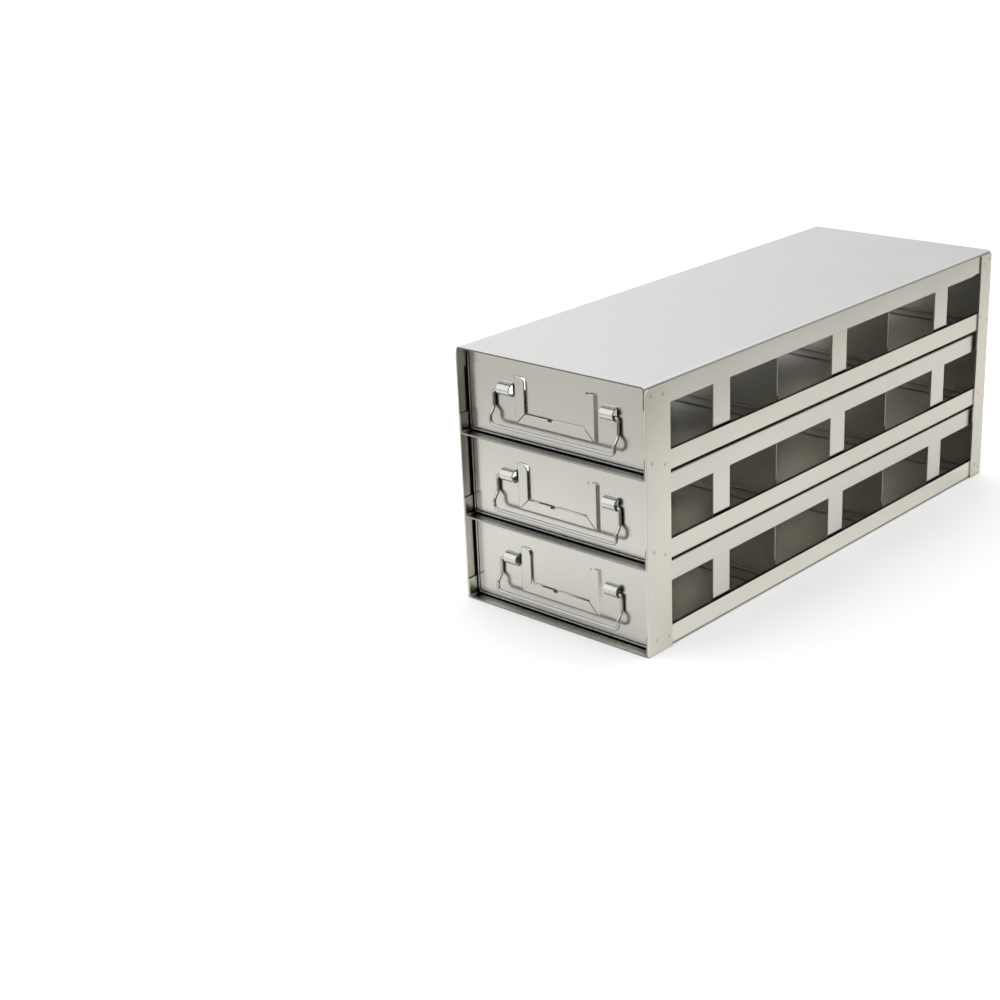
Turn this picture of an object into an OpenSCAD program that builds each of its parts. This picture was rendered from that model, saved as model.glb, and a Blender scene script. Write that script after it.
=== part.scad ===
// Freezer drawer rack: a spot-welded sheet steel frame with three pull-out drawers for storage boxes.
// Millimetres. +Z is up, the drawers pull out towards -Y, and the origin is the middle of the base.

/* [Sheet metal] */
// Thickness of every sheet
sheet = 1; // [0.8:0.1:1.2]
// Outside radius of the folded edges
bend_r = 2; // [1.6:0.1:3]

/* [Frame] */
// Width over the corner posts
rack_w = 157; // [145:1:220]
// Depth over the posts
rack_d = 419; // [380:1:560]
// Height from one shelf to the next
level_h = 59; // [56:1:90]
// Height of the cover's folded sides
cover_side_h = 14.6; // [8:0.1:18]
// Height of a shelf's folded sides
shelf_side_h = 13.9; // [8:0.1:14.5]
// Width of a front post
front_post_w = 24; // [18:0.5:30]
// Width of a rear post's side leg
rear_post_w = 16.7; // [10:0.1:24]
// Width of a rear post's back leg
rear_leg_w = 15; // [8:0.5:24]
// Outside radius of a rear post's fold
rear_bend_r = 2.5; // [1.8:0.1:4]
// Distance from the top of the posts up to the top of the cover
post_drop = 2; // [1:0.5:6]
// Radius of the posts' rounded corners
post_corner_r = 3; // [1:0.5:5]

/* [Drawers] */
// Gap between a drawer and the shelf's folded sides
side_gap = 0.8; // [0.4:0.1:1.5]
// Gap between a drawer and the shelf under it
floor_gap = 0.9; // [0.3:0.1:1.5]
// Gap above a drawer
head_gap = 1.9; // [1:0.1:4]
// Distance of the closed drawers behind the posts' front edges
front_set = 8; // [7:0.5:12]
// Gap between a closed drawer and the rear posts
rear_gap = 0.5; // [0.3:0.1:2]
// Height of a side below its windows
lip_h = 12; // [10:0.1:20]
// Height of a side above its windows
rim_h = 13.5; // [10:0.1:18]
// Distance from the drawer's face to the first window
front_strip = 14; // [12:0.5:24]
// Width of an upright bar between two windows
bar_w = 17.7; // [10:0.1:30]
// Distance of the middle bar behind the middle of its box place
bar_shift = 2.25; // [0:0.25:8]
// Difference between the spacing of the dividers and the spacing of the bars
bar_creep = 1.4; // [0:0.1:6]
// Distance of the rim's free end in front of the drawer's back
rim_stop = 13.8; // [8:0.1:20]
// Radius of the rim's lower rear corner
rim_corner_r = 2; // [1:0.5:5]
// Height of the hem folded inwards at the top of a side
hem_h = 6; // [4:0.5:9]
// Inside radius of the front's folded edges
front_fold_r = 0.3; // [0.2:0.1:1]
// Length of the feet turned along the floor
foot_l = 14; // [8:0.5:20]
// Gap beside a divider
divider_gap = 0.2; // [0.1:0.05:1]
// Distance of a divider's top below the rim
divider_drop = 2; // [0:0.5:10]

/* [Card holder] */
// Width over the card holder
holder_w = 69.2; // [50:0.2:70]
// Height of the holder's lower edge above the drawer's underside
holder_bottom = 11.3; // [9:0.1:18]
// Height of the holder's upper ends above the drawer's underside
holder_top = 43.7; // [38:0.1:48]
// Width of a side flap
side_flap_w = 9.2; // [6:0.1:14]
// Height of the lower flap
low_flap_h = 8.6; // [5:0.1:12]
// Distance that the flaps stand forward
flap_rise = 1.8; // [1.4:0.1:2.5]
// Width of the slits round the flaps
slit_w = 0.2; // [0.2:0.1:1]
// Width of the open mitres at the ends of the lower flap
mitre_w = 0.6; // [0.2:0.1:1.5]
// Radius of a side flap's upper inner corner
flap_corner_r = 4; // [1:0.5:6]
// Width of the notch in the lower flap
notch_w = 3.6; // [2:0.1:6]
// Depth of the notch
notch_h = 1.2; // [0.6:0.1:2]
// Distance of the notch to the left of the middle
notch_x = 4; // [0:0.5:12]

/* [Handle] */
// Diameter of the bail's wire
wire_d = 2.3; // [1.8:0.1:3]
// Half the distance between the bridges' inner ends
bridge_in = 37.8; // [36:0.1:42]
// Length of a bridge
bridge_l = 10.5; // [8:0.5:14]
// Distance of the pair of bridges to the right of the middle
bridge_shift = 1.5; // [0:0.1:1.6]
// Height of a bridge's middle above the drawer's underside
bridge_z = 33.8; // [30:0.1:44]
// Outside radius of a bridge
bridge_r = 4.4; // [3.8:0.1:6]
// Distance that a bridge stands out of the front
bridge_out = 4.8; // [4.6:0.1:7]
// Radius where a bridge leaves the front
bridge_root_r = 0.8; // [0.4:0.1:1.2]
// Gap under the wire's ends in the bridges
rest_gap = 0.3; // [0.2:0.05:0.5]
// Gap between the wire's arms and the front
arm_gap = 0.45; // [0.3:0.05:0.6]
// Mean distance from a bridge's outer end to the middle of an arm
arm_side = 3.5; // [3.4:0.1:5]
// Radius at the middle of the wire where an end turns into an arm
end_turn_r = 2.4; // [2:0.1:3]
// Least length by which the wire ends short of a bridge's inner end
end_short = 1.2; // [0.5:0.1:4]
// Height from the grip up to the wire's ends
bail_drop = 23; // [20:0.1:28]
// Distance of the grip in front of the drawer's face
grip_out = 5.5; // [4.5:0.1:5.8]
// Height of the step in the arms above the grip
step_z = 5.4; // [4:0.1:9]
// Forward lean of the step in the arms, for a fall of step_fall
step_lean = 3; // [2:0.5:5]
// Fall of the step in the arms, for a lean of step_lean
step_fall = 4; // [2:0.5:5]
// Radius at the middle of the wire in the step
step_r = 3; // [2.4:0.1:3.4]
// Radius at the middle of the wire between arm and grip
grip_turn_r = 3.4; // [3:0.1:4]

/* [Hidden] */

$fn = 64;

// Colours of the finishes
cover_grey = [0.87, 0.88, 0.87];
frame_grey = [0.81, 0.79, 0.75];
tray_grey = [0.76, 0.75, 0.72];
front_grey = [0.74, 0.74, 0.71];
divider_grey = [0.6, 0.6, 0.57];
wire_grey = [0.88, 0.88, 0.86];

// Frame
levels = 3;
front_y = -rack_d / 2;
rack_h = levels * level_h + sheet;
post_h = rack_h - post_drop;
shelf_w = rack_w - 2 * sheet;
shelf_d = rack_d - rear_bend_r;

// Drawer, in its own frame: x from its middle, y from its face, z from its underside
drawer_w = shelf_w - 2 * sheet - 2 * side_gap;
drawer_h = level_h - sheet - floor_gap - head_gap;
drawer_d = rack_d - sheet - rear_gap - front_set;
pan_w = drawer_w - 2 * sheet;
pan_r = max(sheet + front_fold_r, bend_r - sheet);
cell_l = (drawer_d - 4 * sheet) / 3;
cell_step = cell_l + sheet;
divider_w = pan_w - 2 * sheet - 2 * divider_gap;
divider_h = drawer_h - sheet - divider_drop;
bar_step = cell_step - bar_creep;
middle_bar_y = sheet + cell_step + cell_l / 2 + bar_shift;
rim_end_y = drawer_d - rim_stop;
rim_z = drawer_h - rim_h;
hem_y = bend_r + sheet;
return_top = drawer_h - hem_h - slit_w;

// Card holder
flap_in = holder_w / 2 - side_flap_w;
low_flap_top = holder_bottom + low_flap_h;
mitre = slit_w * sqrt(2);

// Handle: the wire's ends rest low in the bridges
wire_r = wire_d / 2;
bridge_bore_r = bridge_r - sheet;
bridge_arc_out = bridge_out - bridge_r;
axis_out = wire_r + arm_gap;
axis_z = bridge_z - sqrt(pow(bridge_bore_r - wire_r - rest_gap, 2) - pow(axis_out - bridge_arc_out, 2));
arm_x = bridge_in + bridge_l + arm_side;
grip_z = axis_z - bail_drop;
step_a = atan2(step_lean, step_fall);
step_run = (grip_out - axis_out - 2 * step_r * (1 - cos(step_a))) / sin(step_a);
step_h = 2 * step_r * sin(step_a) + step_run * cos(step_a);

// Margin by which a cutter passes the faces that it cuts
past = 1;

// Places a drawer's piece on its shelf, counted from the bottom
module on_level(level) {
    translate([0, front_y + front_set, level * level_h + sheet + floor_gap]) children();
}

// Draws a left and a right copy
module both_sides() {
    children();
    mirror([1, 0, 0]) children();
}

// Extrudes an x, z section from y0 to y1
module along_depth(y0, y1) {
    translate([0, y1, 0]) rotate([90, 0, 0]) linear_extrude(y1 - y0) children();
}

// Extrudes a y, z section over a width, centred
module along_width(w) {
    translate([-w / 2, 0, 0]) rotate([90, 0, 90]) linear_extrude(w) children();
}

// Square that leaves a round corner when it is cut away: the corner is the origin, the stock lies in +x, +y
module corner_waste(r) {
    difference() {
        translate([-past, -past]) square(r + past);
        translate([r, r]) circle(r);
    }
}

// Block with two round lower corners, standing on the origin
module round_footed(w, h, r) {
    translate([-w / 2, r]) square([w, h - r]);
    translate([r - w / 2, 0]) square([w - 2 * r, r]);
    for (side = [-1, 1]) translate([side * (w / 2 - r), r]) circle(r);
}

// Section of a sheet with both edges folded up
module channel_section(w, h) {
    difference() {
        round_footed(w, h, bend_r);
        translate([0, sheet]) round_footed(w - 2 * sheet, h, bend_r - sheet);
    }
}

// Block in -x, +y with a round corner at the origin
module round_cornered(w, h, r) {
    translate([-w, r]) square([w, h - r]);
    translate([-w, 0]) square([w - r, r]);
    translate([-r, r]) intersection() {
        circle(r);
        translate([0, -r]) square(r);
    }
}

// Half disc towards -x from the origin, with a straight tail along +x
module half_round(r, tail) {
    intersection() {
        circle(r);
        translate([-r, -r]) square([r, 2 * r]);
    }
    translate([0, -r]) square([tail, 2 * r]);
}

// Section of a sheet folded once: a foot along -x and a leg along +y from the corner at the origin
module angle_section(foot, leg, r) {
    difference() {
        round_cornered(foot, leg, r);
        translate([-sheet, sheet]) round_cornered(foot, leg, r - sheet);
    }
}

// Frame

module top_cover() {
    color(cover_grey) translate([0, 0, rack_h]) mirror([0, 0, 1])
        along_depth(front_y, front_y + shelf_d) channel_section(shelf_w, cover_side_h);
}

module shelf(level) {
    color(frame_grey) translate([0, 0, level * level_h])
        along_depth(front_y, front_y + shelf_d) channel_section(shelf_w, shelf_side_h);
}

module front_post() {
    color(frame_grey) translate([rack_w / 2 - sheet, front_y, 0]) rotate([90, 0, 90]) linear_extrude(sheet)
        difference() {
            square([front_post_w, post_h]);
            translate([0, post_h]) mirror([0, 1]) corner_waste(post_corner_r);
        }
}

module rear_post() {
    color(frame_grey) difference() {
        translate([rack_w / 2, rack_d / 2, 0]) linear_extrude(post_h)
            mirror([0, 1]) angle_section(rear_leg_w, rear_post_w, rear_bend_r);
        translate([0, rack_d / 2, 0]) along_width(rack_w + 2 * past) {
            mirror([1, 0]) corner_waste(post_corner_r);
            translate([0, post_h]) rotate(180) corner_waste(post_corner_r);
        }
    }
}

// Drawer tray

// Section of the hem at the top of the right side
module hem_section() {
    translate([pan_w / 2 - sheet, drawer_h - hem_h]) square([sheet, hem_h - sheet]);
    translate([pan_w / 2, drawer_h - sheet]) intersection() {
        circle(sheet);
        translate([-sheet, 0]) square([2 * sheet, sheet]);
    }
}

// Outline of one window from y0 to y1, as a cutter through both sides
module window(y0, y1) {
    translate([-drawer_w / 2 - past, y0, lip_h]) cube([drawer_w + 2 * past, y1 - y0, rim_z - lip_h]);
}

module drawer_tray() {
    bars = [for (i = [-1:1]) middle_bar_y + i * bar_step];
    color(tray_grey) difference() {
        union() {
            along_depth(0, drawer_d) channel_section(drawer_w, drawer_h - sheet);
            both_sides() along_depth(hem_y, rim_end_y) hem_section();
        }
        window(front_strip, bars[0] - bar_w / 2);
        for (i = [0, 1]) window(bars[i] + bar_w / 2, bars[i + 1] - bar_w / 2);
        window(bars[2] + bar_w / 2, drawer_d + past);
        along_width(drawer_w + 2 * past) {
            translate([rim_end_y, lip_h]) square([rim_stop + past, drawer_h]);
            translate([rim_end_y, rim_z]) mirror([1, 0]) corner_waste(rim_corner_r);
        }
    }
}

// Dividers and rear wall

// Angle plate across the drawer, with its back at back_y and its foot turned forward along the floor
module cross_plate(back_y, w, h) {
    color(divider_grey) translate([0, back_y, sheet]) along_width(w) angle_section(foot_l, h, bend_r);
}

module front_divider() {
    cross_plate(sheet + cell_step, divider_w, divider_h);
}

module rear_divider() {
    cross_plate(sheet + 2 * cell_step, divider_w, divider_h);
}

module rear_wall() {
    cross_plate(drawer_d, pan_w - 2 * (bend_r - sheet), drawer_h - sheet);
}

// Drawer front

// Pressed pan: a face with its foot and its two side returns turned back into the tray
module front_pan() {
    flat_w = pan_w - 2 * pan_r;
    translate([0, 0, sheet]) along_width(flat_w)
        mirror([1, 0]) angle_section(foot_l, drawer_h - sheet, pan_r);
    both_sides() translate([pan_w / 2, 0, sheet + pan_r]) {
        linear_extrude(drawer_h - sheet - pan_r) angle_section(2 * pan_r, hem_y - slit_w, pan_r);
        linear_extrude(return_top - sheet - pan_r) angle_section(2 * pan_r, foot_l, pan_r);
    }
    both_sides() translate([flat_w / 2, pan_r, sheet + pan_r]) intersection() {
        difference() {
            sphere(pan_r);
            sphere(pan_r - sheet);
        }
        translate([0, -pan_r, -pan_r]) cube(pan_r);
    }
}

// Outline of the front that the three flaps are pushed out of
module flap_opening() {
    both_sides() translate([flap_in - slit_w, holder_bottom])
        square([side_flap_w + slit_w, holder_top - holder_bottom]);
    translate([-holder_w / 2, holder_bottom]) square([holder_w, low_flap_h + slit_w]);
}

// Section of a joggled flap: its root is at the origin and it runs along -x, standing forward along -y
module flap_section(w) {
    polygon([
        [0, 0], [0, sheet], [-flap_rise, sheet - flap_rise],
        [-w, sheet - flap_rise], [-w, -flap_rise], [-flap_rise, -flap_rise]
    ]);
}

// Right flap, mitred at its lower end and round at its upper inner corner
module side_flap() {
    intersection() {
        translate([holder_w / 2, 0, holder_bottom]) linear_extrude(holder_top - holder_bottom)
            flap_section(side_flap_w);
        along_depth(-flap_rise - past, sheet + past) difference() {
            polygon([
                [flap_in, holder_top], [holder_w / 2, holder_top], [holder_w / 2, holder_bottom],
                [flap_in + low_flap_h + mitre, holder_bottom], [flap_in, low_flap_top + mitre]
            ]);
            translate([flap_in, holder_top]) mirror([0, 1]) corner_waste(flap_corner_r);
        }
    }
}

// Lower flap, mitred at both ends and notched at its free edge
module low_flap() {
    top_end = flap_in - mitre_w;
    low_end = top_end + low_flap_h;
    intersection() {
        translate([0, 0, holder_bottom]) along_width(holder_w) rotate(-90)
            flap_section(low_flap_h);
        along_depth(-flap_rise - past, sheet + past) difference() {
            polygon([
                [-low_end, holder_bottom], [low_end, holder_bottom],
                [top_end, low_flap_top], [-top_end, low_flap_top]
            ]);
            translate([-notch_x - notch_w / 2, low_flap_top - notch_h]) square([notch_w, notch_h + past]);
        }
    }
}

// Section of a bridge, with its middle at the origin and its crown towards -x
module bridge_section() {
    difference() {
        union() {
            translate([-bridge_arc_out, 0]) half_round(bridge_r, bridge_arc_out + sheet);
            translate([-bridge_root_r, -bridge_r - bridge_root_r])
                square([bridge_root_r, 2 * (bridge_r + bridge_root_r)]);
        }
        for (side = [-1, 1])
            translate([-bridge_root_r, side * (bridge_r + bridge_root_r)]) circle(bridge_root_r);
        translate([-bridge_arc_out, 0]) half_round(bridge_bore_r, bridge_arc_out + sheet + past);
    }
}

// Draws a copy at the middle of each bridge
module on_bridges() {
    for (side = [-1, 1]) translate([side * (bridge_in + bridge_l / 2) + bridge_shift, 0]) children();
}

module drawer_front() {
    color(front_grey) {
        difference() {
            front_pan();
            along_depth(-past, sheet + past) {
                flap_opening();
                on_bridges() translate([-bridge_l / 2, bridge_z - bridge_r]) square([bridge_l, 2 * bridge_r]);
            }
        }
        both_sides() side_flap();
        low_flap();
        on_bridges() translate([0, 0, bridge_z]) along_width(bridge_l) bridge_section();
    }
}

// Bail

// Straight wire along +z, with what follows at its end
module run(l) {
    cylinder(h = l, r = wire_r);
    translate([0, 0, l]) children();
}

// Turn of the wire from +z by an angle, towards a heading about z, with what follows at its end
module turn(r, a, heading) {
    rotate(heading) {
        translate([r, 0, 0]) rotate([90, 0, 0]) rotate(180 - a)
            rotate_extrude(angle = a) translate([r, 0]) circle(wire_r);
        translate([r * (1 - cos(a)), 0, r * sin(a)]) rotate([0, a, 0]) rotate(-heading) children();
    }
}

// Right half of the bail, from the end in the bridge to the middle of the grip
module half_bail() {
    end_x = bridge_in + bridge_shift + end_short;
    step_top = grip_z + step_z + step_h;
    translate([end_x, -axis_out, axis_z]) rotate([0, 90, 0])
        run(arm_x - end_turn_r - end_x) turn(end_turn_r, 90, 0)
        run(axis_z - end_turn_r - step_top) turn(step_r, step_a, -90)
        run(step_run) turn(step_r, step_a, 90)
        run(step_z - grip_turn_r) turn(grip_turn_r, 90, 0)
        run(arm_x - grip_turn_r);
}

module bail() {
    color(wire_grey) both_sides() half_bail();
}

top_cover();
shelf(2);  // upper_shelf
shelf(1);  // middle_shelf
shelf(0);  // bottom_shelf
mirror([1, 0, 0]) front_post();  // front_post_left
front_post();  // front_post_right
mirror([1, 0, 0]) rear_post();  // rear_post_left
rear_post();  // rear_post_right

on_level(2) drawer_tray();  // upper_tray
on_level(2) drawer_front();  // upper_front
on_level(2) front_divider();  // upper_front_divider
on_level(2) rear_divider();  // upper_rear_divider
on_level(2) rear_wall();  // upper_rear_wall
on_level(2) bail();  // upper_bail

on_level(1) drawer_tray();  // middle_tray
on_level(1) drawer_front();  // middle_front
on_level(1) front_divider();  // middle_front_divider
on_level(1) rear_divider();  // middle_rear_divider
on_level(1) rear_wall();  // middle_rear_wall
on_level(1) bail();  // middle_bail

on_level(0) drawer_tray();  // lower_tray
on_level(0) drawer_front();  // lower_front
on_level(0) front_divider();  // lower_front_divider
on_level(0) rear_divider();  // lower_rear_divider
on_level(0) rear_wall();  // lower_rear_wall
on_level(0) bail();  // lower_bail
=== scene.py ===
"""Freezer drawer rack: steel finishes, weld marks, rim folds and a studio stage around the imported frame."""

import math

import bmesh
import bpy
from bpy.props import FloatProperty, FloatVectorProperty, PointerProperty
from mathutils import Matrix, Vector


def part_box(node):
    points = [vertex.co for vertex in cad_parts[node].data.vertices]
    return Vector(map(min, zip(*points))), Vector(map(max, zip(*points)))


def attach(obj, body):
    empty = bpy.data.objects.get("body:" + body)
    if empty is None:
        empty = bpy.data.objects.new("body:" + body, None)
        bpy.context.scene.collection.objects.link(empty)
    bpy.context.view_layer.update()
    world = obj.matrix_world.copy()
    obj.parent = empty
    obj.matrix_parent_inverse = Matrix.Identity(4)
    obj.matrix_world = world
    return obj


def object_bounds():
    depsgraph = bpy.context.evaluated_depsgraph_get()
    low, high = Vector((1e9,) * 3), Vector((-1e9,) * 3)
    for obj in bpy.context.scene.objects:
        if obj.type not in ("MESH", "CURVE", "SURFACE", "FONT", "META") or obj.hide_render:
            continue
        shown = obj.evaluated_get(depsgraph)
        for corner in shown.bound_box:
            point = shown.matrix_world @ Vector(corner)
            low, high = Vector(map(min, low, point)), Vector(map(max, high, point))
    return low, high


bl_info = {
    "name": "Freezer drawer rack",
    "version": (1, 0, 0),
    "blender": (4, 5, 0),
    "location": "View3D > Sidebar > Rack",
    "description": "Finishes the sheet steel of a freezer drawer rack and sets its studio stage",
    "category": "Object",
}

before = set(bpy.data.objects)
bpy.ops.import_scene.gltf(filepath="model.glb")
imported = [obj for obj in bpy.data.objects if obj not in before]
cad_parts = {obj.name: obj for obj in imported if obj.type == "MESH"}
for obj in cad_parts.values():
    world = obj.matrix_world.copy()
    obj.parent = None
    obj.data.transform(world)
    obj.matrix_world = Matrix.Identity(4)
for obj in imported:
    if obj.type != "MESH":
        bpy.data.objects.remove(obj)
cad_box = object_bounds()

LEVELS = ("upper", "middle", "lower")
POSTS = ("front_post_left", "front_post_right", "rear_post_left", "rear_post_right")
UPPER_SHELVES = ("upper_shelf", "middle_shelf")
BASE_SHELF = "bottom_shelf"

# Sheet, width of a shelf's bends, and height from one shelf to the next
SHEET = 0.001
BEND_W = 0.0025
LEVEL_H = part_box("middle_shelf")[0].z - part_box(BASE_SHELF)[0].z

# Outer faces of the shelves' folded sides and of the trays
SHELF_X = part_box("upper_shelf")[1].x
TRAY_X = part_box("lower_tray")[1].x

# Thickness of the hem on a tray's rim, and distances of its ends from the tray's front and back
HEM_W = 2 * SHEET
HEM_SETBACK = 0.0035
RIM_SETBACK = 0.0145

# Heights above a shelf between which a tray's sides get a band of painted shade
SHADE_BAND = (0.0128, 0.0152)

# Widths over which the painted shade fades
EDGE_BLUR = 0.0002
SHADE_BAND_BLUR = 0.0004

# Directions of the axes
RIGHT = (1.0, 0.0, 0.0)
LEFT = (-1.0, 0.0, 0.0)
FORWARD = (0.0, -1.0, 0.0)
UP = (0.0, 0.0, 1.0)
DOWN = (0.0, 0.0, -1.0)

# Level directions from the rack: to the camera, to the shaded part of the floor and to the window
CAMERA_SIDE = (0.58, -0.81, 0.0)
RIGHT_FRONT = (0.81, -0.59, 0.0)
FRONT_LEFT = (-0.5, -0.86, 0.0)

# Spans of the painted gap shade from black to clear: between sheets, on fronts, on posts and wire, on shelf
# floors
DEEP_GAPS = (0.28, 0.82)
FRONT_GAPS = (0.12, 0.68)
FAINT_GAPS = (0.02, 0.5)
FLOOR_GAPS = (0.42, 0.95)

# Reach of the painted shade on the shelves' floors, and share of the colour that the painted shade keeps in a
# closed gap
FLOOR_REACH = 0.02
SHADED_GAP_SHARE = 0.02

# Spans of the cosine between a normal and a direction: facing it, turned below, and at an edge, which is
# lightened as wear and as a painted highlight
FACING_SPAN = (0.6, 0.8)
BELOW_SPAN = (0.3, 0.6)
EDGE_WEAR_AND_HIGHLIGHT_SPAN = (0.98, 0.8)

# Shares of a colour that darken or lighten it: streaks of the grain, handling marks, edges lightened as wear
# and as a painted highlight, and darkened places, which are painted shade except on the dividers' cut edges
STREAK_TONES = (0.93, 1.07)
MARK_TONE = 0.86
EDGE_WEAR_AND_HIGHLIGHT_TONE = 1.45
DARK_PLACE_TONE = 0.05

# Strength of the painted shade on the cover's front edge, of the darkening of other cut edges, which is
# painted shade on the shelves' fronts, and of the painted shade on the shelves and trays
COVER_SHADE = 0.75
CUT_DARKENING = 0.6
SHADE_STRENGTH = 0.95

# Clouds in the sheet: size as a share of the waves' size, span, and change of the roughness
CLOUD_SHARE = 0.7
CLOUD_SPAN = (0.25, 0.75)
CLOUD_GLOSS = 0.03

# Handling marks: span, strength in the colour, and change of the roughness
MARK_SPAN = (0.5, 0.85)
MARK_SHARE = 0.15
MARK_GLOSS = 0.02

# Polished wire: sizes of its scuffs and fine marks, tones, span and roughness
SCUFF_SIZE = 0.004
FINE_SIZE = 0.0006
WIRE_TONES = (0.94, 1.05)
SCUFF_SPAN = (0.3, 0.7)
WIRE_GLOSS = (0.1, 0.17)

# Heat tint: size of its patches, tone of the clean steel among them, spans and roughness
PATCH_SIZE = 0.0012
CLEAN_TONE = 0.85
PATCH_SPAN = (0.3, 0.7)
TINT_SPAN = (0.2, 0.8)
TINT_GLOSS = (0.28, 0.45)

# Painted room shade on the floor that the steel sees, beyond a painted pool of light near the rack: distances
# from the rack's right and front, places along y, and strengths
ROOM_RIGHT = (0.06, 0.6)
ROOM_AHEAD = (0.06, 0.42)
ROOM_END = (-1.0, -0.72)
ROOM_BEHIND = (0.04, 0.27)
AHEAD_SHARE = 0.55
BEHIND_SHARE = 0.28

# Painted shade on the floor that the steel sees, towards the camera: distances towards the right front where
# it starts and ends
SHADE_START = (0.185, 0.3)
SHADE_END = (0.75, 0.6)

# Spans of the cosine towards the pale wall, the window, the camera's wall and the ceiling
PALE_SPAN = (0.1, 0.85)
WINDOW_SPAN = (0.6, 0.95)
CAMERA_SPAN = (0.45, 0.85)
CEILING_SPAN = (0.2, 0.7)


# Settings that a user would change


class RackFinish(bpy.types.PropertyGroup):
    """Colours and surface sizes of the steel"""

    cover_colour: FloatVectorProperty(
        name="Cover", description="Colour of the top cover", subtype="COLOR",
        size=3, default=(0.63, 0.625, 0.605), min=0, max=1)
    frame_colour: FloatVectorProperty(
        name="Frame", description="Colour of the shelves and posts", subtype="COLOR",
        size=3, default=(0.66, 0.64, 0.592), min=0, max=1)
    tray_colour: FloatVectorProperty(
        name="Trays", description="Colour of the drawers' folded trays", subtype="COLOR",
        size=3, default=(0.65, 0.64, 0.605), min=0, max=1)
    front_colour: FloatVectorProperty(
        name="Fronts", description="Colour of the drawer fronts", subtype="COLOR",
        size=3, default=(0.58, 0.572, 0.543), min=0, max=1)
    divider_colour: FloatVectorProperty(
        name="Dividers", description="Colour of the dividers and rear walls", subtype="COLOR",
        size=3, default=(0.56, 0.545, 0.5), min=0, max=1)
    wire_colour: FloatVectorProperty(
        name="Wire", description="Colour of the bails' polished wire", subtype="COLOR",
        size=3, default=(0.46, 0.455, 0.435), min=0, max=1)
    tint_colour: FloatVectorProperty(
        name="Heat tint", description="Colour of the steel that a spot weld has heated", subtype="COLOR",
        size=3, default=(0.3, 0.22, 0.13), min=0, max=1)
    # Painted light: the bottom shelf is a lighter copy of the shelves' steel
    base_painted_light_share: FloatProperty(
        name="Bottom shelf", description="Lightness of the bottom shelf as a share of the other shelves'",
        default=1.2, min=0, max=2)
    cover_roughness: FloatProperty(
        name="Cover roughness", description="Roughness of the top cover's folded sides",
        subtype="FACTOR", default=0.2, min=0, max=1)
    cover_top_share: FloatProperty(
        name="Cover's top", description="Roughness of the cover's flat top as a share of its sides'",
        default=1.5, min=0, max=3)
    sheet_roughness: FloatProperty(
        name="Sheet roughness", description="Roughness of the shelves, posts, dividers and fronts",
        subtype="FACTOR", default=0.22, min=0, max=1)
    tray_roughness: FloatProperty(
        name="Tray roughness", description="Roughness of the trays' sides",
        subtype="FACTOR", default=0.25, min=0, max=1)
    tray_floor_share: FloatProperty(
        name="Trays' floors", description="Roughness of the trays' floors as a share of their sides'",
        default=0.6, min=0, max=3)
    grain_length: FloatProperty(
        name="Grain length", description="Length of the rolled grain's streaks",
        unit="LENGTH", default=0.05, min=0.001, max=1)
    grain_width: FloatProperty(
        name="Grain width", description="Width of the rolled grain's streaks",
        unit="LENGTH", default=0.0008, min=0.0001, max=0.01)
    grain_depth: FloatProperty(
        name="Grain depth", description="Depth of the rolled grain",
        unit="LENGTH", default=0.000003, min=0, max=0.0001, precision=6)
    ripple_size: FloatProperty(
        name="Ripple size", description="Size of the waves in the thin sheet",
        unit="LENGTH", default=0.09, min=0.01, max=1)
    ripple_depth: FloatProperty(
        name="Ripple depth", description="Depth of the waves in the thin sheet",
        unit="LENGTH", default=0.00015, min=0, max=0.002, precision=5)
    edge_round: FloatProperty(
        name="Edge rounding", description="Radius of the deburred edges",
        unit="LENGTH", default=0.0004, min=0, max=0.002, precision=5)
    # Painted shade: the colour is darkened in the gaps within this reach
    painted_shade_reach: FloatProperty(
        name="Gap reach", description="Width of the gaps that dust and shade darken",
        unit="LENGTH", default=0.005, min=0.0005, max=0.02)
    smudge_size: FloatProperty(
        name="Smudge size", description="Size of the handling marks",
        unit="LENGTH", default=0.03, min=0.005, max=0.2)


class RackWelds(bpy.types.PropertyGroup):
    """Sizes of the spot welds that hold the posts to the shelves"""

    mark_d: FloatProperty(
        name="Diameter", description="Diameter of a weld mark",
        unit="LENGTH", default=0.0024, min=0.001, max=0.006)
    mark_h: FloatProperty(
        name="Height", description="Height of a mark's rim above the sheet",
        unit="LENGTH", default=0.00008, min=0.00002, max=0.0005, precision=5)
    mark_sink: FloatProperty(
        name="Sink", description="Depth of a mark's root in the sheet",
        unit="LENGTH", default=0.0002, min=0.00005, max=0.0008, precision=5)


class RackFolds(bpy.types.PropertyGroup):
    """Sizes of the narrow folds turned inwards along the trays' upper rims"""

    fold_w: FloatProperty(
        name="Width", description="Width of a fold inside the rim",
        unit="LENGTH", default=0.0026, min=0.001, max=0.006)
    fold_h: FloatProperty(
        name="Thickness", description="Thickness of a fold",
        unit="LENGTH", default=0.0009, min=0.0004, max=0.0012, precision=5)
    fold_root: FloatProperty(
        name="Root", description="Depth of a fold's root in the rim's hem",
        unit="LENGTH", default=0.0002, min=0.00005, max=0.0009, precision=5)
    fold_drop: FloatProperty(
        name="Drop", description="Distance of a fold's top below the rim",
        unit="LENGTH", default=0.0004, min=0.0002, max=0.001, precision=5)


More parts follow.
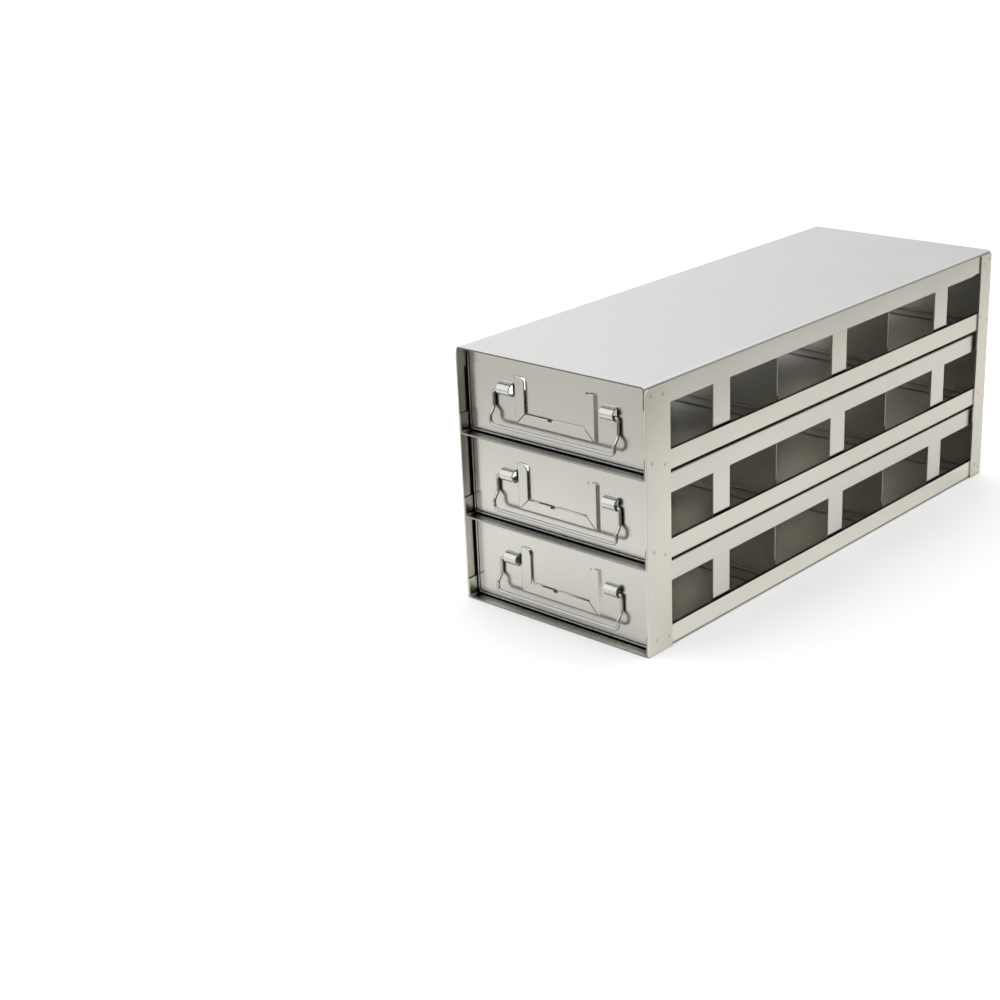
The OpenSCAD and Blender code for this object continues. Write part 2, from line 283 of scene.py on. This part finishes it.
class RackStage(bpy.types.PropertyGroup):
    """Camera, floor and light"""

    camera_place: FloatVectorProperty(
        name="Camera place", description="Place of the camera", subtype="TRANSLATION",
        size=3, default=(0.71575, -1.00613, 0.50102))
    camera_turn: FloatVectorProperty(
        name="Camera turn", description="Turn of the camera", subtype="EULER",
        size=3, default=[math.radians(a) for a in (68.9988, 2.4477, 42.7179)])
    camera_lens: FloatProperty(
        name="Focal length", description="Focal length of the lens in millimetres",
        unit="CAMERA", default=64.6925, min=10, max=300)
    floor_colour: FloatVectorProperty(
        name="Floor", description="Colour of the floor", subtype="COLOR",
        size=3, default=(0.96, 0.96, 0.955), min=0, max=1)
    # Painted light and shade on the floor, seen only in the steel: a lit table, painted room shade and
    # painted shade towards the camera
    painted_light_table_colour: FloatVectorProperty(
        name="Table", description="Colour of the floor near the rack, as the steel reflects it",
        subtype="COLOR", size=3, default=(0.97, 0.955, 0.91), min=0, max=1)
    painted_room_shade_colour: FloatVectorProperty(
        name="Room", description="Colour of the floor far from the rack, as the steel reflects it",
        subtype="COLOR", size=3, default=(0.28, 0.25, 0.19), min=0, max=1)
    # Painted shade on the floor towards the camera, seen only in the steel
    shade_colour: FloatVectorProperty(
        name="Shade", description="Colour of the floor on the camera's side, as the steel reflects it",
        subtype="COLOR", size=3, default=(0.16, 0.155, 0.145), min=0, max=1)
    floor_size: FloatProperty(
        name="Floor size", description="Length of the floor's sides",
        unit="LENGTH", default=60.0, min=2, max=200)
    lamp_strength: FloatProperty(
        name="Lamp", description="Strength of the wide soft lamp", default=0.4, min=0, max=10)
    lamp_width: FloatProperty(
        name="Lamp width", description="Angle that the soft lamp takes up in the sky",
        subtype="ANGLE", default=math.radians(70), min=0, max=math.pi)
    lamp_turn: FloatVectorProperty(
        name="Lamp turn", description="Turn of the soft lamp", subtype="EULER",
        size=3, default=[math.radians(a) for a in (20, 10, 0)])
    dim_wall_colour: FloatVectorProperty(
        name="Dim wall", description="Light of the walls that aren't on the rack's left", subtype="COLOR",
        size=3, default=(0.42, 0.42, 0.41), min=0, max=4)
    pale_wall_colour: FloatVectorProperty(
        name="Pale wall", description="Light of the wall on the rack's left", subtype="COLOR",
        size=3, default=(1.14, 1.16, 1.18), min=0, max=4)
    window_colour: FloatVectorProperty(
        name="Window", description="Light of the window at the front left", subtype="COLOR",
        size=3, default=(1.36, 1.38, 1.4), min=0, max=4)
    camera_wall_colour: FloatVectorProperty(
        name="Camera's wall", description="Light of the dark wall behind the camera", subtype="COLOR",
        size=3, default=(0.14, 0.14, 0.135), min=0, max=4)
    ceiling_colour: FloatVectorProperty(
        name="Ceiling", description="Light from above", subtype="COLOR",
        size=3, default=(1.3, 1.32, 1.34), min=0, max=4)
    backdrop_colour: FloatVectorProperty(
        name="Backdrop", description="Colour of the backdrop as the camera sees it", subtype="COLOR",
        size=3, default=(1.0, 1.0, 1.0), min=0, max=1)


# Node helpers


def add_node(tree, kind, settings=None, inputs=None):
    """Adds a shader node, with its settings and its inputs as values or as sockets to link from."""
    made = tree.nodes.new(kind)
    for key, value in (settings or {}).items():
        setattr(made, key, value)
    for key, value in (inputs or {}).items():
        if isinstance(value, bpy.types.NodeSocket):
            tree.links.new(value, made.inputs[key])
        else:
            made.inputs[key].default_value = value
    return made


def maths(tree, operation, a, b):
    """Result of a Math node on two values or sockets."""
    return add_node(tree, "ShaderNodeMath", {"operation": operation}, {0: a, 1: b}).outputs[0]


def ramp(tree, value, low, high, to_low=0.0, to_high=1.0):
    """A value carried smoothly from the span low to high onto the span to_low to to_high."""
    made = add_node(
        tree, "ShaderNodeMapRange", {"interpolation_type": "SMOOTHSTEP"},
        {"Value": value, "From Min": low, "From Max": high, "To Min": to_low, "To Max": to_high})
    return made.outputs["Result"]


def place_part(tree, place, axis):
    """One coordinate of a place or a direction."""
    return add_node(tree, "ShaderNodeSeparateXYZ", None, {0: place}).outputs[axis]


def along(tree, vector, way):
    """Length of a vector along a direction."""
    made = add_node(tree, "ShaderNodeVectorMath", {"operation": "DOT_PRODUCT"}, {0: vector, 1: way})
    return made.outputs["Value"]


def mixed(tree, factor, a, b, blend="MIX"):
    """Colour between two colours, each given as a colour or a socket."""
    made = add_node(tree, "ShaderNodeMix", {"data_type": "RGBA", "blend_type": blend})
    for place, value in ((0, factor), (6, a), (7, b)):
        if isinstance(value, bpy.types.NodeSocket):
            tree.links.new(value, made.inputs[place])
        else:
            made.inputs[place].default_value = value
    return made.outputs[2]


def opaque(colour, share=1.0):
    """A colour property as four numbers, darkened or lightened by a share."""
    return tuple(min(1.0, c * share) for c in colour) + (1.0,)


def glow(colour):
    """A colour property of the studio's light as four numbers."""
    return (*colour, 1.0)


def new_material(name):
    """An empty node material with its Principled shader linked to its output."""
    material = bpy.data.materials.new(name)
    material.use_nodes = True
    tree = material.node_tree
    tree.nodes.clear()
    shader = tree.nodes.new("ShaderNodeBsdfPrincipled")
    output = tree.nodes.new("ShaderNodeOutputMaterial")
    tree.links.new(shader.outputs["BSDF"], output.inputs["Surface"])
    return material, tree, shader


def noise(tree, place, scale, detail=2.0, rough=0.5):
    """Fac of a noise texture, with its scale as one number or one for each axis."""
    mapping = add_node(tree, "ShaderNodeMapping", {"vector_type": "TEXTURE"}, {"Vector": place})
    mapping.inputs["Scale"].default_value = scale if hasattr(scale, "__len__") else (scale,) * 3
    made = add_node(
        tree, "ShaderNodeTexNoise", None,
        {"Vector": mapping.outputs[0], "Scale": 1.0, "Detail": detail, "Roughness": rough})
    return made.outputs["Fac"]


def dress(names, material):
    """Puts a material on the named CAD nodes."""
    for name in names:
        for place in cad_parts[name].material_slots:
            place.material = material


# Finishes


def painted_gap_shade(tree, reach, gaps):
    """Share of the colour that a surface keeps under painted shade, low in the narrow gaps between sheets and
    close to other parts.
    """
    shade = add_node(tree, "ShaderNodeAmbientOcclusion", {"samples": 4}, {"Distance": reach})
    return ramp(tree, shade.outputs["AO"], *gaps, SHADED_GAP_SHARE, 1.0)


def facing(tree):
    """Direction that a surface faces."""
    return add_node(tree, "ShaderNodeNewGeometry").outputs["Normal"]


def edge_wear_and_highlight(tree, rounded):
    """Share of a surface that lies on an edge, from the normal of its rounded form; the colour is lightened
    there as wear and as a painted highlight.
    """
    return ramp(tree, along(tree, rounded, facing(tree)), *EDGE_WEAR_AND_HIGHLIGHT_SPAN)


def upright_band(tree, place, low, high):
    """Share of a place that lies between two heights above its level's shelf."""
    height = maths(tree, "MODULO", place_part(tree, place, "Z"), LEVEL_H)
    above_low = ramp(tree, height, low, low + SHADE_BAND_BLUR)
    below_high = ramp(tree, height, high + SHADE_BAND_BLUR, high)
    return maths(tree, "MULTIPLY", above_low, below_high)


def turned(tree, way, to_low=0.0, to_high=1.0):
    """A value that is to_high on the surfaces that face a direction and to_low on the others."""
    return ramp(tree, along(tree, facing(tree), way), *FACING_SPAN, to_low, to_high)


def sideways(tree):
    """Share of a surface that faces the rack's left or right."""
    return maths(tree, "ADD", turned(tree, RIGHT), turned(tree, LEFT))


def beyond(tree, place, distance):
    """Share of a place that lies further from the rack's middle plane than a distance."""
    across = maths(tree, "ABSOLUTE", place_part(tree, place, "X"), 0.0)
    return ramp(tree, across, distance - EDGE_BLUR, distance)


def largest(tree, *shares):
    """Largest of some shares."""
    most = shares[0]
    for share in shares[1:]:
        most = maths(tree, "MAXIMUM", most, share)
    return most


def cover_painted_shade(tree, place):
    """Share of the cover that gets painted shade: its cut front edge, darkened as a shade line."""
    return turned(tree, FORWARD, to_high=COVER_SHADE)


def divider_dark_edges(tree, place):
    """Share of a divider that is darkened: its cut edges, which face the rack's sides."""
    return maths(tree, "MULTIPLY", sideways(tree), CUT_DARKENING)


def shelf_painted_shade(tree, place):
    """Share of a shelf that gets painted shade: its cut top edges, the faces below its outer bends, its cut
    front edge and its floor close to a drawer.
    """
    upwards = turned(tree, UP)
    tops = maths(tree, "MULTIPLY", upwards, beyond(tree, place, SHELF_X - SHEET - EDGE_BLUR / 2))
    below = ramp(tree, along(tree, facing(tree), DOWN), *BELOW_SPAN)
    below = maths(tree, "MULTIPLY", below, beyond(tree, place, SHELF_X - BEND_W))
    front = turned(tree, FORWARD, to_high=CUT_DARKENING)
    hidden = maths(tree, "SUBTRACT", 1.0, painted_gap_shade(tree, FLOOR_REACH, FLOOR_GAPS))
    strip = maths(tree, "MULTIPLY", upwards, hidden)
    return maths(tree, "MULTIPLY", largest(tree, tops, below, front, strip), SHADE_STRENGTH)


def tray_painted_shade(tree, place):
    """Share of a tray that gets painted shade: its cut upper edges, and a band of its sides just above the
    shelf's folded edges.
    """
    # Painted shade on a band of the sides just above the shelf's folded edges, and on the cut upper edges
    shaded_band = maths(tree, "MULTIPLY", sideways(tree), upright_band(tree, place, *SHADE_BAND))
    tops = maths(tree, "MULTIPLY", turned(tree, UP), beyond(tree, place, TRAY_X - HEM_W - EDGE_BLUR))
    return maths(tree, "MULTIPLY", largest(tree, shaded_band, tops), SHADE_STRENGTH)


def sheet_steel(name, colour, finish, grain, roughness, dark_places=None, gaps=DEEP_GAPS, level_share=1.0):
    """Satin sheet steel, with its rolled grain along one axis, soft waves, handling marks, edges lightened as
    wear and as a painted highlight, darker places and painted shade in gaps.

    The share changes the roughness of the surfaces that face up.
    """
    material, tree, shader = new_material(name)
    place = add_node(tree, "ShaderNodeTexCoord").outputs["Object"]
    streak = [finish.grain_width] * 3
    streak["XYZ".index(grain)] = finish.grain_length
    streaks = noise(tree, place, streak, 3.0, 0.6)
    clouds = noise(tree, place, finish.ripple_size * CLOUD_SHARE, 3.0)
    waves = noise(tree, place, finish.ripple_size, 1.0)
    marks = ramp(tree, noise(tree, place, finish.smudge_size, 3.0, 0.5), *MARK_SPAN)

    tone = mixed(tree, streaks, *(opaque(colour, share) for share in STREAK_TONES))
    tone = mixed(tree, ramp(tree, clouds, *CLOUD_SPAN), tone, opaque(colour))
    tone = mixed(tree, maths(tree, "MULTIPLY", marks, MARK_SHARE), tone, opaque(colour, MARK_TONE))
    edge = add_node(tree, "ShaderNodeBevel", {"samples": 4}, {"Radius": finish.edge_round})
    # Edges lightened, partly as wear and partly as a painted highlight
    tone = mixed(tree, edge_wear_and_highlight(tree, edge.outputs[0]), tone, opaque(colour, EDGE_WEAR_AND_HIGHLIGHT_TONE))
    # Darker places: painted shade on the cover, shelves and trays, and darkened cut edges on the dividers
    if dark_places:
        tone = mixed(tree, dark_places(tree, place), tone, opaque(colour, DARK_PLACE_TONE))
    # Painted shade in the narrow gaps between parts, multiplied into the colour
    light = painted_gap_shade(tree, finish.painted_shade_reach, gaps)
    tree.links.new(mixed(tree, 1.0, tone, light, "MULTIPLY"), shader.inputs["Base Color"])

    gloss = ramp(tree, clouds, *CLOUD_SPAN, roughness - CLOUD_GLOSS, roughness + CLOUD_GLOSS)
    gloss = maths(tree, "MULTIPLY", gloss, turned(tree, UP, 1.0, level_share))
    gloss = maths(tree, "ADD", gloss, maths(tree, "MULTIPLY", marks, MARK_GLOSS))
    tree.links.new(gloss, shader.inputs["Roughness"])

    wave = add_node(
        tree, "ShaderNodeBump", None,
        {"Height": waves, "Strength": 1.0, "Distance": finish.ripple_depth, "Normal": edge.outputs[0]})
    line = add_node(
        tree, "ShaderNodeBump", None,
        {"Height": streaks, "Strength": 1.0, "Distance": finish.grain_depth, "Normal": wave.outputs[0]})
    tree.links.new(line.outputs[0], shader.inputs["Normal"])
    shader.inputs["Metallic"].default_value = 1.0
    return material


def polished_wire(finish):
    """Polished wire, with small scuffs and fine marks."""
    material, tree, shader = new_material("polished_wire")
    place = add_node(tree, "ShaderNodeTexCoord").outputs["Object"]
    scuffs = noise(tree, place, SCUFF_SIZE, 4.0, 0.6)
    fine = noise(tree, place, FINE_SIZE, 2.0)
    tone = mixed(tree, scuffs, *(opaque(finish.wire_colour, share) for share in WIRE_TONES))
    # Painted shade where the wire comes close to other parts, multiplied into the colour
    light = painted_gap_shade(tree, finish.painted_shade_reach, FAINT_GAPS)
    tree.links.new(mixed(tree, 1.0, tone, light, "MULTIPLY"), shader.inputs["Base Color"])
    tree.links.new(ramp(tree, scuffs, *SCUFF_SPAN, *WIRE_GLOSS), shader.inputs["Roughness"])
    bump = add_node(
        tree, "ShaderNodeBump", None,
        {"Height": fine, "Strength": 1.0, "Distance": finish.grain_depth})
    tree.links.new(bump.outputs[0], shader.inputs["Normal"])
    shader.inputs["Metallic"].default_value = 1.0
    return material


def heat_tint(finish):
    """Steel browned by the heat of a spot weld."""
    material, tree, shader = new_material("heat_tint")
    place = add_node(tree, "ShaderNodeTexCoord").outputs["Object"]
    patches = noise(tree, place, PATCH_SIZE, 3.0)
    clean = opaque(finish.frame_colour, CLEAN_TONE)
    tone = mixed(tree, ramp(tree, patches, *PATCH_SPAN), opaque(finish.tint_colour), clean)
    tree.links.new(tone, shader.inputs["Base Color"])
    tree.links.new(ramp(tree, patches, *TINT_SPAN, *TINT_GLOSS), shader.inputs["Roughness"])
    shader.inputs["Metallic"].default_value = 1.0
    return material


# Meshes


def link_piece(name, mesh, materials, body):
    """Links a new piece that rides on a body, with the given materials in its slots."""
    piece = bpy.data.objects.new(name, mesh)
    bpy.context.scene.collection.objects.link(piece)
    for material in materials:
        piece.data.materials.append(material)
    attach(piece, body)


def add_lathe(mesh, profile, place, segments=24):
    """Adds a closed turned form to a bmesh and returns its faces by ring; the profile ends on the axis."""
    rings = []
    for radius, height in profile:
        if radius == 0:
            rings.append([mesh.verts.new(place @ Vector((0, 0, height)))])
            continue
        turn = [2 * math.pi * i / segments for i in range(segments)]
        rings.append([mesh.verts.new(place @ Vector((radius * math.cos(a), radius * math.sin(a), height)))
                      for a in turn])
    faces = []
    for lower, upper in zip(rings, rings[1:]):
        band = []
        for i in range(segments):
            j = (i + 1) % segments
            if len(lower) == 1:
                corners = (lower[0], upper[j], upper[i])
            elif len(upper) == 1:
                corners = (lower[i], lower[j], upper[0])
            else:
                corners = (lower[i], lower[j], upper[j], upper[i])
            band.append(mesh.faces.new(corners))
        faces.append(band)
    return faces


def add_bar(mesh, section, start, stop):
    """Adds a closed bar to a bmesh: a section of x and z carried along y."""
    ends = [[mesh.verts.new((x, y, z)) for x, z in section] for y in (start, stop)]
    for i in range(len(section)):
        j = (i + 1) % len(section)
        mesh.faces.new((ends[0][i], ends[0][j], ends[1][j], ends[1][i]))
    mesh.faces.new(ends[0])
    mesh.faces.new(ends[1])


# Weld marks of a post on each sheet: distance from the post's outer edge, height above the sheet's foot
FRONT_MARKS = {
    "top_cover": ((0.0050, 0.0082), (0.0169, 0.0067)),
    "upper_shelf": ((0.0058, 0.0108), (0.0185, 0.0068)),
    "middle_shelf": ((0.0067, 0.0108), (0.0179, 0.0060)),
    "bottom_shelf": ((0.0083, 0.0098), (0.0207, 0.0078)),
}
REAR_MARKS = {
    "top_cover": ((0.0128, 0.0064), (0.0052, 0.0089)),
    "upper_shelf": ((0.0136, 0.0111), (0.0046, 0.0069)),
    "middle_shelf": ((0.0118, 0.0095), (0.0040, 0.0058)),
    "bottom_shelf": ((0.0110, 0.0099), (0.0056, 0.0064)),
}

# Profile of a weld mark from its edge to its middle, as shares of its radius and height
MARK_PROFILE = ((1.0, 0.0), (0.86, 1.0), (0.66, 0.9), (0.5, 0.3), (0.0, 0.2))


def weld_places(post):
    """Places of one post's weld marks on its outer face, as matrices whose z axis points outwards."""
    low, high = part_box(post)
    front = post.startswith("front")
    side = 1 if post.endswith("right") else -1
    face_x = high.x if side > 0 else low.x
    places = []
    for shelf, marks in (FRONT_MARKS if front else REAR_MARKS).items():
        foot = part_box(shelf)[0].z
        for inwards, up in marks:
            y = low.y + inwards if front else high.y - inwards
            outwards = Matrix.Rotation(math.radians(90 * side), 4, "Y")
            places.append(Matrix.Translation((face_x, y, foot + up)) @ outwards)
    return places


# Operators


class RACK_OT_cover(bpy.types.Operator):
    """Finish the top cover"""

    bl_idname = "rack.cover"
    bl_label = "Top cover"

    def execute(self, context):
        finish = context.scene.rack_finish
        steel = sheet_steel(
            "cover_steel", finish.cover_colour, finish, grain="Y", roughness=finish.cover_roughness,
            dark_places=cover_painted_shade, level_share=finish.cover_top_share)
        dress(["top_cover"], steel)
        return {"FINISHED"}


class RACK_OT_frame(bpy.types.Operator):
    """Finish the shelves and the corner posts"""

    bl_idname = "rack.frame"
    bl_label = "Shelves and posts"

    def execute(self, context):
        finish = context.scene.rack_finish
        roughness = finish.sheet_roughness
        steel = sheet_steel(
            "shelf_steel", finish.frame_colour, finish, grain="Y", roughness=roughness, dark_places=shelf_painted_shade)
        dress(UPPER_SHELVES, steel)
        # Painted light: the bottom shelf takes a lighter copy of the shelf colour
        base_painted_light_colour = opaque(finish.frame_colour, finish.base_painted_light_share)[:3]
        steel = sheet_steel(
            "base_painted_light_steel", base_painted_light_colour, finish, grain="Y", roughness=roughness, dark_places=shelf_painted_shade)
        dress([BASE_SHELF], steel)
        steel = sheet_steel(
            "post_steel", finish.frame_colour, finish, grain="Z", roughness=roughness, gaps=FAINT_GAPS)
        dress(POSTS, steel)
        return {"FINISHED"}


class RACK_OT_weld_marks(bpy.types.Operator):
    """Add the spot weld marks on the posts"""

    bl_idname = "rack.weld_marks"
    bl_label = "Weld marks"

    def execute(self, context):
        scene = context.scene
        welds = scene.rack_welds
        tint = heat_tint(scene.rack_finish)
        centre = bpy.data.materials["post_steel"]
        radius = welds.mark_d / 2
        profile = [(0, -welds.mark_sink), (radius, -welds.mark_sink)]
        profile += [(radius * out, welds.mark_h * up) for out, up in MARK_PROFILE]
        centre_bands = 2
        centre_slot = 1
        for post in POSTS:
            made = bmesh.new()
            for place in weld_places(post):
                bands = add_lathe(made, profile, place)
                for band in bands[-centre_bands:]:
                    for face in band:
                        face.material_index = centre_slot
            for face in made.faces:
                face.smooth = True
            bmesh.ops.recalc_face_normals(made, faces=made.faces)
            mesh = bpy.data.meshes.new(post + "_welds")
            made.to_mesh(mesh)
            made.free()
            link_piece(post + "_welds", mesh, (tint, centre), "rack")
        return {"FINISHED"}


class RACK_OT_trays(bpy.types.Operator):
    """Finish the drawers' trays"""

    bl_idname = "rack.trays"
    bl_label = "Drawer trays"

    def execute(self, context):
        finish = context.scene.rack_finish
        steel = sheet_steel(
            "tray_steel", finish.tray_colour, finish, grain="Y", roughness=finish.tray_roughness,
            dark_places=tray_painted_shade, level_share=finish.tray_floor_share)
        dress([level + "_tray" for level in LEVELS], steel)
        return {"FINISHED"}


class RACK_OT_rim_folds(bpy.types.Operator):
    """Add the narrow folds along the trays' upper rims"""

    bl_idname = "rack.rim_folds"
    bl_label = "Rim folds"

    def execute(self, context):
        folds = context.scene.rack_folds
        for level in LEVELS:
            low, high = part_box(level + "_tray")
            made = bmesh.new()
            for side in (1, -1):
                section = self.section(folds, high, side)
                add_bar(made, section, low.y + HEM_SETBACK, high.y - RIM_SETBACK)
            bmesh.ops.recalc_face_normals(made, faces=made.faces)
            mesh = bpy.data.meshes.new(level + "_rim_folds")
            made.to_mesh(mesh)
            made.free()
            steel = bpy.data.materials["tray_steel"]
            link_piece(level + "_rim_folds", mesh, (steel,), level + "_drawer")
        return {"FINISHED"}

    def section(self, folds, high, side):
        """Section of one fold, rooted in the rim's hem and rounded at its free edge."""
        radius = folds.fold_h / 2
        root = high.x - HEM_W + folds.fold_root
        edge = high.x - HEM_W - folds.fold_w + radius
        middle = high.z - folds.fold_drop - radius
        steps = 8
        turns = [math.radians(90 + 180 * i / steps) for i in range(steps + 1)]
        points = [(root, middle - radius), (root, middle + radius)]
        points += [(edge + radius * math.cos(a), middle + radius * math.sin(a)) for a in turns]
        return [(side * x, z) for x, z in points]


class RACK_OT_dividers(bpy.types.Operator):
    """Finish the dividers and the rear walls"""

    bl_idname = "rack.dividers"
    bl_label = "Dividers and rear walls"

    def execute(self, context):
        finish = context.scene.rack_finish
        parts = ("_front_divider", "_rear_divider", "_rear_wall")
        steel = sheet_steel(
            "divider_steel", finish.divider_colour, finish, grain="X", roughness=finish.sheet_roughness,
            dark_places=divider_dark_edges)
        dress([level + part for level in LEVELS for part in parts], steel)
        return {"FINISHED"}


class RACK_OT_fronts(bpy.types.Operator):
    """Finish the drawer fronts"""

    bl_idname = "rack.fronts"
    bl_label = "Drawer fronts"

    def execute(self, context):
        finish = context.scene.rack_finish
        steel = sheet_steel(
            "front_steel", finish.front_colour, finish, grain="X", roughness=finish.sheet_roughness,
            gaps=FRONT_GAPS)
        dress([level + "_front" for level in LEVELS], steel)
        return {"FINISHED"}


class RACK_OT_bails(bpy.types.Operator):
    """Finish the wire bails"""

    bl_idname = "rack.bails"
    bl_label = "Wire bails"

    def execute(self, context):
        dress([level + "_bail" for level in LEVELS], polished_wire(context.scene.rack_finish))
        return {"FINISHED"}


class RACK_OT_stage(bpy.types.Operator):
    """Set the camera, the floor and the light"""

    bl_idname = "rack.stage"
    bl_label = "Stage"

    def execute(self, context):
        scene = context.scene
        stage = scene.rack_stage
        scene.view_settings.view_transform = "Standard"
        self.add_camera(scene, stage)
        self.add_floor(scene, stage)
        self.add_lamp(scene, stage)
        self.add_world(scene, stage)
        return {"FINISHED"}

    def add_camera(self, scene, stage):
        """Adds the camera, at the place that was fitted to the rack's corners."""
        camera = bpy.data.objects.new("camera", bpy.data.cameras.new("camera"))
        camera.location = stage.camera_place
        camera.rotation_euler = stage.camera_turn
        camera.data.lens = stage.camera_lens
        camera.data.sensor_width = 36.0
        camera.data.clip_end = 100.0
        scene.collection.objects.link(camera)
        scene.camera = camera

    def add_floor(self, scene, stage):
        """Adds the floor: one pale colour to the camera, and to the steel a table with a painted pool of
        light and painted shade.
        """
        half = stage.floor_size / 2
        corners = [(-half, -half, 0), (half, -half, 0), (half, half, 0), (-half, half, 0)]
        mesh = bpy.data.meshes.new("floor")
        mesh.from_pydata(corners, [], [(0, 1, 2, 3)])
        floor = bpy.data.objects.new("floor", mesh)
        scene.collection.objects.link(floor)
        material = bpy.data.materials.new("pale_floor")
        material.use_nodes = True
        tree = material.node_tree
        tree.nodes.clear()
        place = add_node(tree, "ShaderNodeTexCoord").outputs["Object"]
        # Painted pool of light on the table near the rack, falling off to painted room shade farther out
        far = self.painted_falloff_share(tree, place)
        table = mixed(tree, far, opaque(stage.painted_light_table_colour), opaque(stage.painted_room_shade_colour))
        # Painted shade on the floor towards the camera, seen only in the steel
        reach = along(tree, place, RIGHT_FRONT)
        shaded = maths(tree, "MULTIPLY", ramp(tree, reach, *SHADE_START), ramp(tree, reach, *SHADE_END))
        table = mixed(tree, shaded, table, opaque(stage.shade_colour))
        seen = add_node(tree, "ShaderNodeLightPath").outputs["Is Camera Ray"]
        colour = mixed(tree, seen, table, opaque(stage.floor_colour))
        surface = add_node(tree, "ShaderNodeBsdfDiffuse", None, {"Color": colour})
        output = tree.nodes.new("ShaderNodeOutputMaterial")
        tree.links.new(surface.outputs[0], output.inputs["Surface"])
        mesh.materials.append(material)

    def painted_falloff_share(self, tree, place):
        """Share of the painted room shade at a place on the floor, around the table's painted pool of light:
        right of the rack, ahead of it and behind it.
        """
        x, y = (place_part(tree, place, axis) for axis in "XY")
        side = cad_box[1].x
        face = cad_box[0].y
        right = ramp(tree, x, *(side + reach for reach in ROOM_RIGHT))
        behind = ramp(tree, y, *ROOM_BEHIND, 0.0, BEHIND_SHARE)
        ahead = ramp(tree, y, *(face - reach for reach in ROOM_AHEAD), 0.0, AHEAD_SHARE)
        ahead = maths(tree, "MULTIPLY", ahead, ramp(tree, y, *ROOM_END))
        return largest(tree, right, ahead, behind)

    def add_lamp(self, scene, stage):
        """Adds one wide soft lamp from above."""
        lamp = bpy.data.objects.new("soft_lamp", bpy.data.lights.new("soft_lamp", "SUN"))
        lamp.data.energy = stage.lamp_strength
        lamp.data.angle = stage.lamp_width
        lamp.rotation_euler = stage.lamp_turn
        scene.collection.objects.link(lamp)

    def add_world(self, scene, stage):
        """Sets the world: a white backdrop to the camera; walls, a window and a ceiling to the steel."""
        world = bpy.data.worlds.new("studio")
        world.use_nodes = True
        tree = world.node_tree
        tree.nodes.clear()
        way = add_node(tree, "ShaderNodeTexCoord").outputs["Generated"]
        to_left = ramp(tree, along(tree, way, LEFT), *PALE_SPAN)
        tone = mixed(tree, to_left, glow(stage.dim_wall_colour), glow(stage.pale_wall_colour))
        to_window = ramp(tree, along(tree, way, FRONT_LEFT), *WINDOW_SPAN)
        tone = mixed(tree, to_window, tone, glow(stage.window_colour))
        to_camera = ramp(tree, along(tree, way, CAMERA_SIDE), *CAMERA_SPAN)
        tone = mixed(tree, to_camera, tone, glow(stage.camera_wall_colour))
        to_ceiling = ramp(tree, along(tree, way, UP), *CEILING_SPAN)
        tone = mixed(tree, to_ceiling, tone, glow(stage.ceiling_colour))
        seen = add_node(tree, "ShaderNodeLightPath").outputs["Is Camera Ray"]
        tone = mixed(tree, seen, tone, glow(stage.backdrop_colour))
        surface = add_node(tree, "ShaderNodeBackground", None, {"Color": tone, "Strength": 1.0})
        output = tree.nodes.new("ShaderNodeOutputWorld")
        tree.links.new(surface.outputs[0], output.inputs["Surface"])
        scene.world = world


OPERATORS = (
    RACK_OT_cover, RACK_OT_frame, RACK_OT_weld_marks, RACK_OT_trays, RACK_OT_rim_folds, RACK_OT_dividers,
    RACK_OT_fronts, RACK_OT_bails, RACK_OT_stage)


class RACK_PT_panel(bpy.types.Panel):
    """Lists the rack's pieces and its stage"""

    bl_idname = "RACK_PT_panel"
    bl_label = "Freezer drawer rack"
    bl_space_type = "VIEW_3D"
    bl_region_type = "UI"
    bl_category = "Rack"

    def draw(self, context):
        for operator in OPERATORS:
            self.layout.operator(operator.bl_idname)
        for key in GROUPS:
            group = getattr(context.scene, key)
            for name in group.__annotations__:
                self.layout.prop(group, name)


GROUPS = {
    "rack_finish": RackFinish,
    "rack_welds": RackWelds,
    "rack_folds": RackFolds,
    "rack_stage": RackStage,
}


def register():
    """Registers the settings, the operators and the panel."""
    for group in GROUPS.values():
        bpy.utils.register_class(group)
    for name, group in GROUPS.items():
        setattr(bpy.types.Scene, name, PointerProperty(type=group))
    for operator in OPERATORS:
        bpy.utils.register_class(operator)
    bpy.utils.register_class(RACK_PT_panel)


def unregister():
    """Removes what register added."""
    bpy.utils.unregister_class(RACK_PT_panel)
    for operator in reversed(OPERATORS):
        bpy.utils.unregister_class(operator)
    for name, group in GROUPS.items():
        delattr(bpy.types.Scene, name)
        bpy.utils.unregister_class(group)


def main():
    """Builds the scene in order."""
    register()
    bpy.ops.rack.cover()
    bpy.ops.rack.frame()
    bpy.ops.rack.weld_marks()
    bpy.ops.rack.trays()
    bpy.ops.rack.rim_folds()
    bpy.ops.rack.dividers()
    bpy.ops.rack.fronts()
    bpy.ops.rack.bails()
    bpy.ops.rack.stage()


if __name__ == "__main__":
    main()
